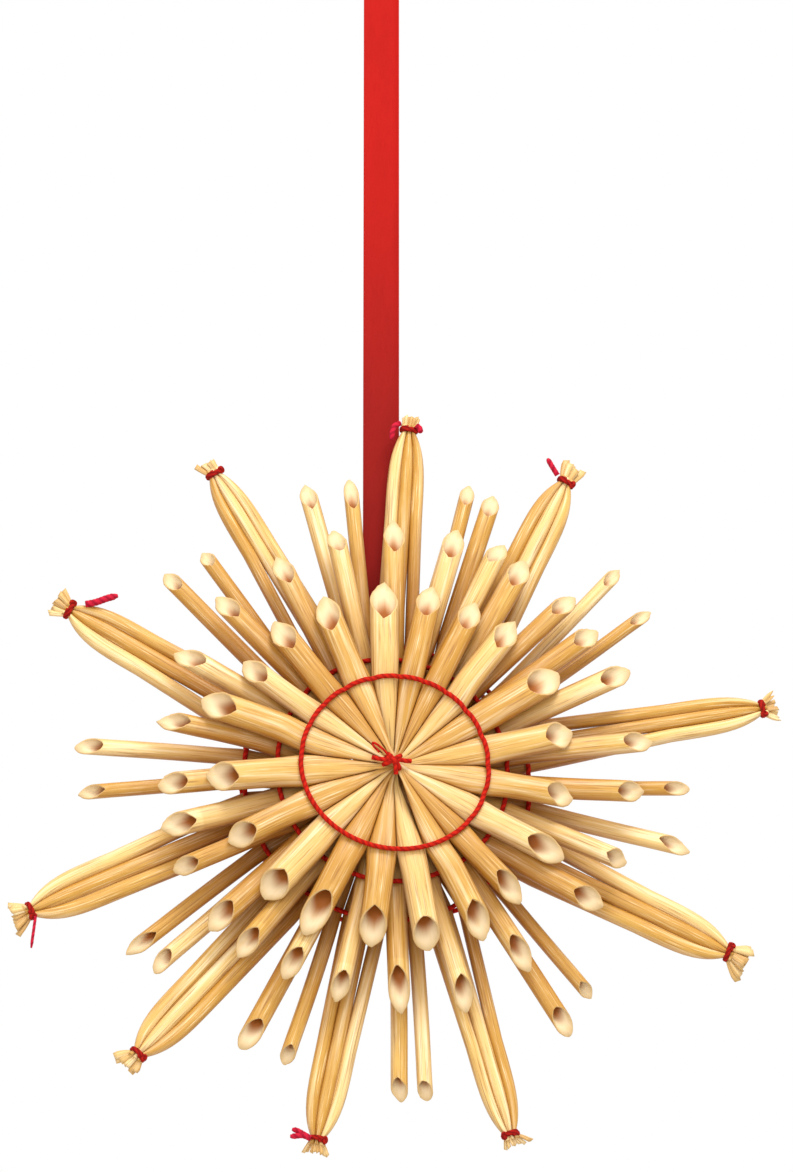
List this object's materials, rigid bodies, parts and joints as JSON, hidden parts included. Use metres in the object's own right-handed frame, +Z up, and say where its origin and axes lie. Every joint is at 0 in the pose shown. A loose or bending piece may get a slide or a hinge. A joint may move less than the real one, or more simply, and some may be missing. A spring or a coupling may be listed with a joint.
{
  "type": "straw star hanging ornament",
  "caption": "Layered straw star with tied outer points, open slanted straw ends, red thread rings and a flat red ribbon loop to hang it by.",
  "frame": {"origin": "top of the ribbon loop, where a hook, nail or twig holds it; the star hangs below", "axes": "+Z up, the face of the star looks along -Y, +X to the viewer's right"},
  "size_m": [0.1388, 0.02, 0.2277],
  "materials": {
    "straw": "natural golden wheat straw with a waxy sheen, fine lengthwise fibres and pale cut faces",
    "red_thread": "twisted red cotton thread",
    "ribbon": "flat red satin ribbon"
  },
  "bodies": {
    "root": {"front_straw_01": "straw", "front_straw_02": "straw", "front_straw_03": "straw", "front_straw_04": "straw", "front_straw_05": "straw", "front_straw_06": "straw", "front_straw_07": "straw", "front_straw_08": "straw", "front_straw_09": "straw", "front_straw_10": "straw", "second_straw_01": "straw", "second_straw_02": "straw", "second_straw_03": "straw", "second_straw_04": "straw", "second_straw_05": "straw", "second_straw_06": "straw", "second_straw_07": "straw", "second_straw_08": "straw", "second_straw_09": "straw", "second_straw_10": "straw", "second_straw_11": "straw", "second_straw_12": "straw", "second_straw_13": "straw", "tied_straw_01": "straw", "tied_straw_02": "straw", "tied_straw_03": "straw", "tied_straw_04": "straw", "tied_straw_05": "straw", "tied_straw_06": "straw", "tied_straw_07": "straw", "tied_straw_08": "straw", "tied_straw_09": "straw", "tied_straw_10": "straw", "tied_straw_11": "straw", "tied_straw_12": "straw", "tied_straw_13": "straw", "tied_straw_14": "straw", "tied_straw_15": "straw", "free_straw_pair_1": "straw", "free_straw_pair_2": "straw", "free_straw_pair_3": "straw", "free_straw_pair_4": "straw", "free_straw_pair_5": "straw", "centre_knot": "red_thread", "front_thread_ring": "red_thread", "second_thread_ring": "red_thread", "back_thread_ring": "red_thread", "rear_thread_ring": "red_thread", "bundle_tie_01": "red_thread", "bundle_tie_02": "red_thread", "bundle_tie_03": "red_thread", "bundle_tie_04": "red_thread", "bundle_tie_05": "red_thread", "bundle_tie_06": "red_thread", "bundle_tie_07": "red_thread", "bundle_tie_08": "red_thread", "bundle_tie_09": "red_thread", "bundle_tie_10": "red_thread", "ribbon_loop": "ribbon"}
  },
  "joints": []
}
